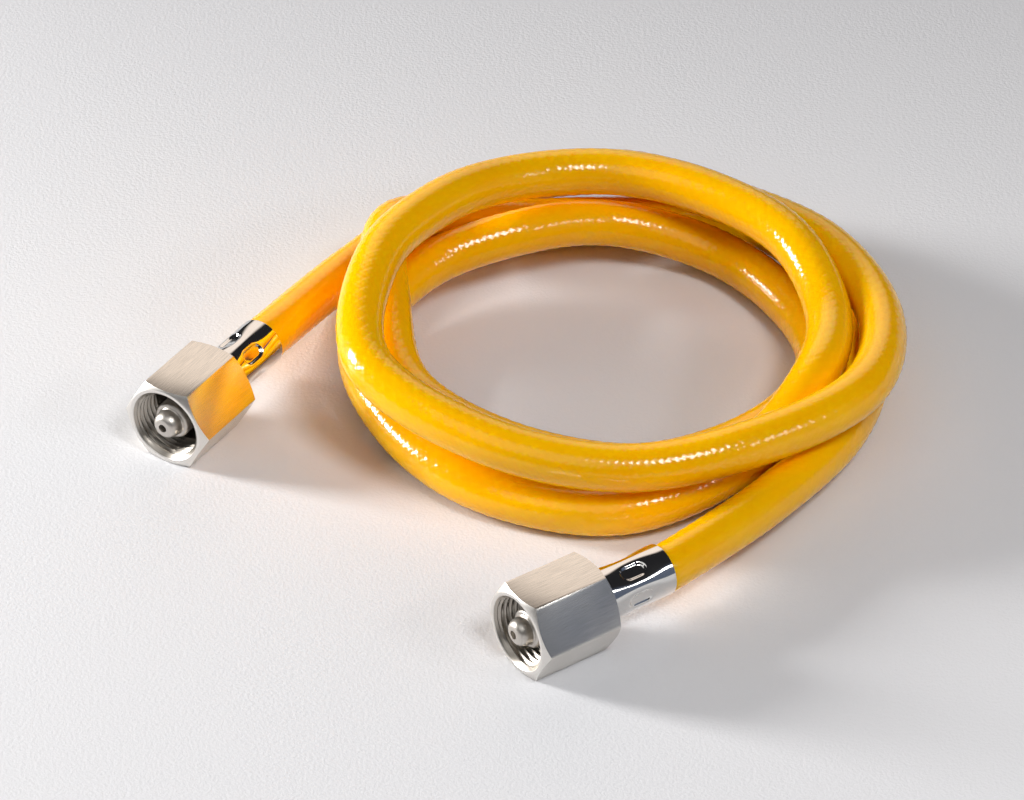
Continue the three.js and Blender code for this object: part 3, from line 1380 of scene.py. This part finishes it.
@dataclass
class Camera:
    """The camera of the photograph.

    Attributes:
        position: where it stands, in millimetres.
        down: how far it looks down, in degrees.
        focal_pixels: its focal length, in the image's pixels.
        image_width: the image's width in pixels.
        sensor: its sensor's width, in millimetres.
        clip: the nearest and farthest distance that it sees, in metres.
    """

    position: Triple = (-1.3, -1164.6, 867.4)
    down: float = 36.29
    focal_pixels: float = 5673.4
    image_width: float = 1024.0
    sensor: float = 36.0
    clip: tuple[float, float] = (0.05, 50.0)

    def build(self) -> None:
        """Makes the camera and gives it to the scene."""
        data = bpy.data.cameras.new("camera")
        data.sensor_width = self.sensor
        data.lens = self.sensor * self.focal_pixels / self.image_width
        data.clip_start, data.clip_end = self.clip
        camera = bpy.data.objects.new("camera", data)
        camera.location = Vector(self.position) * MM
        camera.rotation_euler = (math.radians(90 - self.down), 0, 0)
        bpy.context.scene.collection.objects.link(camera)
        bpy.context.scene.camera = camera


@dataclass(frozen=True)
class Softbox:
    """A rectangular lamp that looks at the coil.

    Attributes:
        name: the lamp's name.
        azimuth: where it stands, in degrees from +X towards +Y.
        elevation: its height above the floor, in degrees.
        distance: its distance in metres.
        width: its width in metres.
        height: its height in metres.
        power: its power in watts.
        colour: its colour.
    """

    name: str
    azimuth: float
    elevation: float
    distance: float
    width: float
    height: float
    power: float
    colour: Triple = (1.0, 1.0, 1.0)

    def build(self, target: Vector) -> None:
        """Makes the lamp.

        Args:
            target: what it looks at.
        """
        data = bpy.data.lights.new(self.name, "AREA")
        data.shape = "RECTANGLE"
        data.size = self.width
        data.size_y = self.height
        data.energy = self.power
        data.color = self.colour
        lamp = bpy.data.objects.new(self.name, data)
        away = heading(self.azimuth, self.elevation)
        lamp.location = target + away * self.distance
        lamp.rotation_euler = away.to_track_quat("Z", "Y").to_euler()
        bpy.context.scene.collection.objects.link(lamp)


@dataclass(frozen=True)
class Patch:
    """A soft round patch of light on the room's walls.

    Attributes:
        azimuth: the way to its middle, in degrees from +X towards +Y.
        elevation: its height, in degrees.
        radius: where it has faded out, in degrees from its middle.
        core: where it starts to fade, in degrees from its middle.
        colour: its light, where 1 is as bright as white paper in the lamps' light.
    """

    azimuth: float
    elevation: float
    radius: float
    core: float
    colour: Triple


def heading(azimuth: float, elevation: float) -> Vector:
    """Turns an angle from +X towards +Y and one above the floor, in degrees, into a direction."""
    around, above = math.radians(azimuth), math.radians(elevation)
    return Vector((math.cos(above) * math.cos(around), math.cos(above) * math.sin(around), math.sin(above)))


@dataclass
class Room:
    """The light that the room's walls throw back: a dark ceiling, and paler patches lower down.

    Attributes:
        ceiling: the ceiling's light.
        horizon: the pale wall's light, as low as the floor.
        horizon_top: how high the wall is that pale, as the sine of the angle.
        horizon_fade: how high it has faded to the ceiling's light.
        patches: the paler patches.
    """

    ceiling: Triple = (0.02, 0.02, 0.022)
    horizon: Triple = (0.85, 0.85, 0.86)
    horizon_top: float = 0.02
    horizon_fade: float = 0.07
    patches: tuple[Patch, ...] = (
        Patch(90, 30, 25, 13, (1.22, 1.06, 0.94)),
        Patch(-20, 10, 40, 12, (0.12, 0.145, 0.205)),
    )

    def build(self) -> None:
        """Makes the world's node tree."""
        world = bpy.data.worlds.new("studio_room")
        world.use_nodes = True
        self.nodes, self.links = world.node_tree.nodes, world.node_tree.links
        direction = self.nodes.new("ShaderNodeTexCoord").outputs["Generated"]
        split = self.nodes.new("ShaderNodeSeparateXYZ")
        self.links.new(direction, split.inputs[0])
        light = self.fade(split.outputs["Z"], self.horizon_top, self.horizon_fade, self.horizon, self.ceiling)
        for patch in self.patches:
            near = self.nodes.new("ShaderNodeVectorMath")
            near.operation = "DOT_PRODUCT"
            near.inputs[1].default_value = heading(patch.azimuth, patch.elevation)
            self.links.new(direction, near.inputs[0])
            start, stop = math.cos(math.radians(patch.radius)), math.cos(math.radians(patch.core))
            glow = self.fade(near.outputs["Value"], start, stop, (0.0, 0.0, 0.0), patch.colour)
            light = self.lighter(light, glow)
        self.links.new(light, self.nodes["Background"].inputs["Color"])
        bpy.context.scene.world = world

    def fade(self, value: Socket, start: float, stop: float, first: Triple, second: Triple) -> Socket:
        """Fades from one colour to another.

        Args:
            value: what the fade follows.
            start: where it starts.
            stop: where it ends.
            first: the colour at the start.
            second: the colour at the stop.

        Returns:
            The colour.
        """
        share = self.nodes.new("ShaderNodeMapRange")
        share.interpolation_type = "SMOOTHSTEP"
        share.inputs["From Min"].default_value = start
        share.inputs["From Max"].default_value = stop
        self.links.new(value, share.inputs["Value"])
        mix = self.nodes.new("ShaderNodeMix")
        mix.data_type = "RGBA"
        mix.inputs["A"].default_value = (*first, 1.0)
        mix.inputs["B"].default_value = (*second, 1.0)
        self.links.new(share.outputs["Result"], mix.inputs["Factor"])
        return mix.outputs["Result"]

    def lighter(self, first: Socket, second: Socket) -> Socket:
        """Keeps the lighter of two colours.

        Args:
            first: a colour.
            second: a colour.

        Returns:
            The lighter one, channel by channel.
        """
        mix = self.nodes.new("ShaderNodeMix")
        mix.data_type = "RGBA"
        mix.blend_type = "LIGHTEN"
        mix.inputs["Factor"].default_value = 1.0
        self.links.new(first, mix.inputs["A"])
        self.links.new(second, mix.inputs["B"])
        return mix.outputs["Result"]


@dataclass
class Studio:
    """The pale floor, with painted shade that darkens it towards the back, the lamps and the room's light.

    Attributes:
        floor_size: the floor's length and width, in metres.
        floor_height: its height, just under the part, in metres.
        floor_colour: its colour in front.
        far_painted_shade: its colour behind, darker, as painted shade where the lamps' light falls off.
        far_from: how far behind the part's middle it starts to change, in metres.
        far_to: where it has changed.
        paper_grain: how fine its grain is.
        paper_depth: the grain's depth, in metres.
        target: what the lamps look at, in metres.
        lamps: the lamps.
    """

    floor_size: float = 2.4
    floor_height: float = -0.00012
    floor_colour: Triple = (0.71, 0.71, 0.73)
    far_painted_shade: Triple = (0.56, 0.56, 0.58)
    far_from: float = 0.05
    far_to: float = 0.32
    paper_grain: float = 1100.0
    paper_depth: float = 0.0004
    target: Triple = (0.02, 0.0, 0.02)
    lamps: tuple[Softbox, ...] = (
        Softbox("key_lamp", 168, 16.0, 1.1, 0.22, 0.36, 18.8, (1.0, 0.99, 0.97)),
        Softbox("side_lamp", -58, 55, 1.3, 0.3, 0.3, 7.5),
        Softbox("low_side_lamp", -30, 33, 1.3, 0.36, 0.12, 1.8),
        Softbox("front_lamp", -112, 52, 1.2, 1.0, 0.9, 2.5),
    )

    def floor(self) -> None:
        """Makes the floor, just under the part."""
        half = self.floor_size / 2
        mesh = bpy.data.meshes.new("floor")
        corners = [(-half, -half), (half, -half), (half, half), (-half, half)]
        mesh.from_pydata([(x, y, self.floor_height) for x, y in corners], [], [(0, 1, 2, 3)])
        tree = Shading("paper_floor")
        place = tree.add("ShaderNodeTexCoord").outputs["Object"]
        grain = tree.noise(place, self.paper_grain, 3.0, 0.6)
        split = tree.add("ShaderNodeSeparateXYZ")
        tree.links.new(place, split.inputs[0])
        # Painted shade: the floor's colour darkens from floor_colour in front to far_painted_shade behind,
        # where the lamps' light falls off.
        tree.set(
            Base_Color=tree.mixed(
                split.outputs["Y"], self.floor_colour, self.far_painted_shade, self.far_from, self.far_to
            ),
            Roughness=0.75,
            Specular_IOR_Level=0.25,
            Normal=tree.bump(grain, 0.35, self.paper_depth),
        )
        place_object(mesh, [tree.material])

    def build(self) -> None:
        """Makes the whole studio."""
        self.floor()
        Room().build()
        for lamp in self.lamps:
            lamp.build(Vector(self.target))
        bpy.context.scene.view_settings.view_transform = "Standard"


def main() -> None:
    """Builds the camera, the hose, its fittings and the studio."""
    logging.basicConfig(level=logging.INFO, format="%(name)s: %(message)s")
    near = EndPlace(End.NEAR, -0.2, -93.8, 35.6, -5.0)
    far = EndPlace(End.FAR, -89.3, -9.9, 57.8, 43.0)
    Camera().build()
    finishes = Finishes()
    hose, line = Hose(HoseRoute(), near, far, finishes).build()
    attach(hose, BODY)
    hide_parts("hose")
    fittings = [EndFitting(place, finishes).build() for place in (near, far)]
    Studio().build()


if __name__ == "__main__":
    main()
